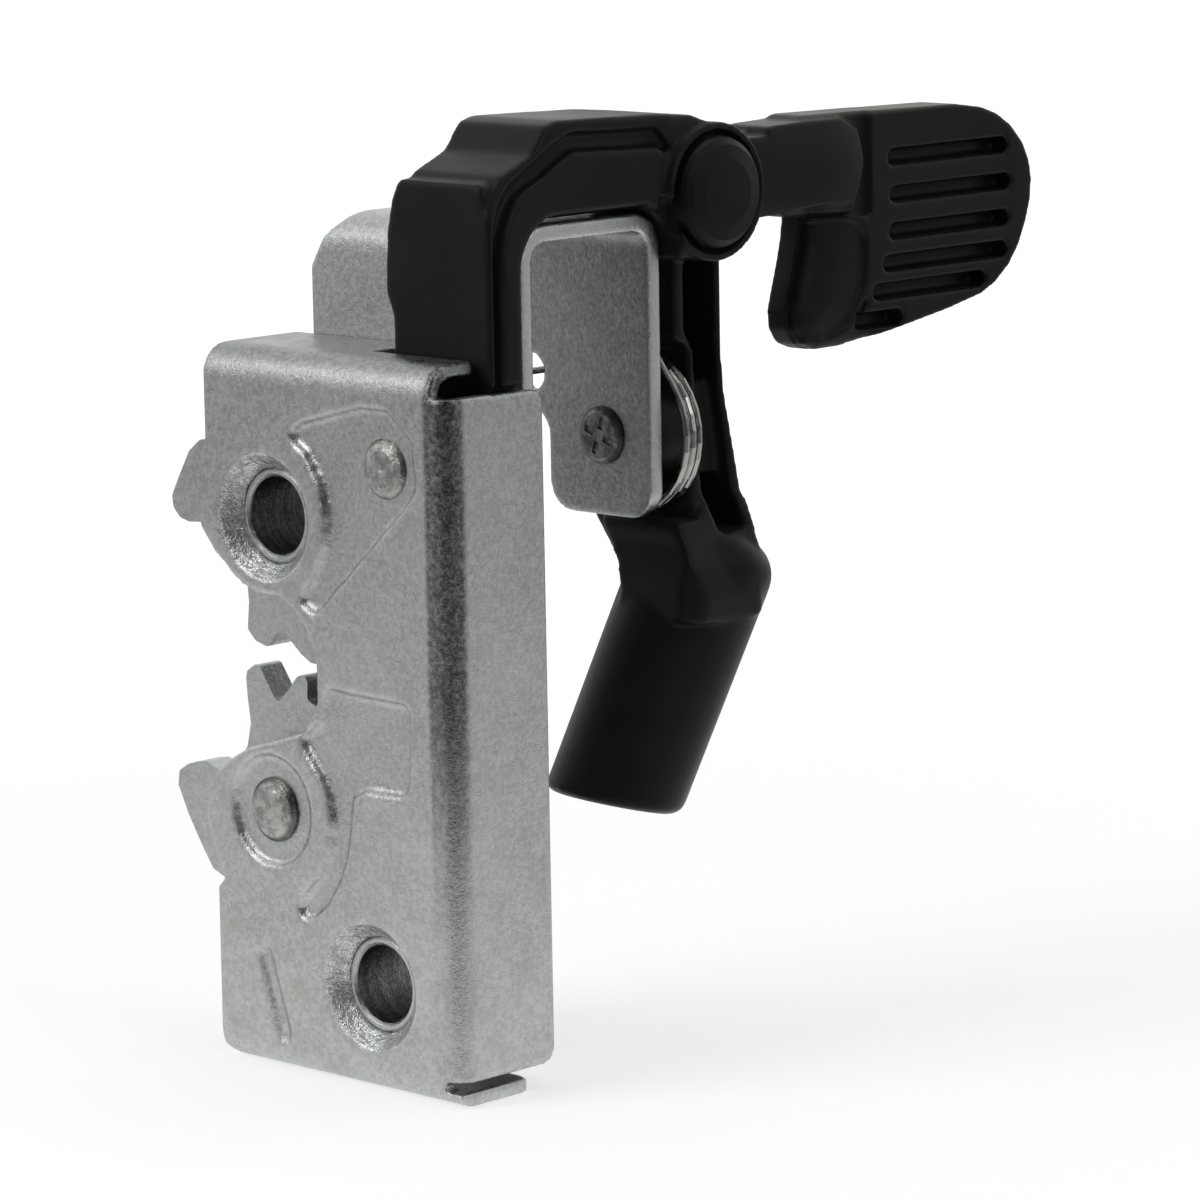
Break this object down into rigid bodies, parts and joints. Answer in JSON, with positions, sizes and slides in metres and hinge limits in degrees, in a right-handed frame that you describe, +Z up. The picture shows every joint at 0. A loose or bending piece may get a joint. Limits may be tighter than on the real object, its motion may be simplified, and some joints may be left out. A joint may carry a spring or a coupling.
{
  "type": "double rotor door latch with release lever",
  "caption": "Zinc plated double rotor cab door latch with a black moulded release lever, grip tube and ribbed paddle.",
  "frame": {"origin": "centre of the upper fixing bush's front end", "axes": "+X across the case front towards the side wall, +Y into the latch along the bush bores, +Z up towards the lever"},
  "size_m": [0.061, 0.1186, 0.1257],
  "materials": {
    "zinc": "satin",
    "steel": "satin",
    "spring_steel": "gloss",
    "black_plastic": "matte"
  },
  "bodies": {
    "case": {"front_case": "zinc", "back_plate": "zinc", "upper_bush": "zinc", "lower_bush": "zinc", "rotor_pin": "steel", "upper_rotor_washer": "steel", "lower_rotor_washer": "steel", "upper_rotor_spring": "spring_steel", "lower_rotor_spring": "spring_steel", "upper_spring_post": "steel", "lower_spring_post": "steel", "pawl_pin": "steel", "pawl_washer": "steel", "lever_pin": "steel", "lever_washer": "steel", "return_spring": "spring_steel"},
    "upper_rotor": {"upper_rotor": "zinc"},
    "lower_rotor": {"lower_rotor": "zinc"},
    "pawl": {"pawl": "zinc", "pawl_stud": "steel"},
    "lever": {"lever": "black_plastic", "lever_sleeve": "steel", "paddle": "black_plastic", "hub_pin": "black_plastic"}
  },
  "joints": [
    {"name": "lever_swing", "type": "hinge", "parent": "case", "child": "lever", "pos_m": [0.0225, 0.045, 0.0083], "axis": [0, -1, 0], "range_deg": [0, 12], "stiffness_Nm_per_rad": 0.4, "springref_deg": -20.05, "deforming": ["return_spring"]},
    {"name": "pawl_turn", "type": "hinge", "parent": "case", "child": "pawl", "pos_m": [0.0225, 0.0043, 0.0083], "axis": [0, -1, 0], "range_deg": [0, 12.2]},
    {"name": "upper_rotor_turn", "type": "hinge", "parent": "case", "child": "upper_rotor", "pos_m": [0, 0.0043, 0], "axis": [0, 1, 0], "range_deg": [0, 24.5]},
    {"name": "lower_rotor_turn", "type": "hinge", "parent": "case", "child": "lower_rotor", "pos_m": [0, 0.0043, -0.039], "axis": [0, -1, 0], "range_deg": [0, 24.5]}
  ],
  "couplings": [
    {"joint": "pawl_turn", "follows": "lever_swing", "ratio": 1},
    {"joint": "upper_rotor_turn", "follows": "lever_swing", "ratio": 2},
    {"joint": "lower_rotor_turn", "follows": "lever_swing", "ratio": 2}
  ]
}
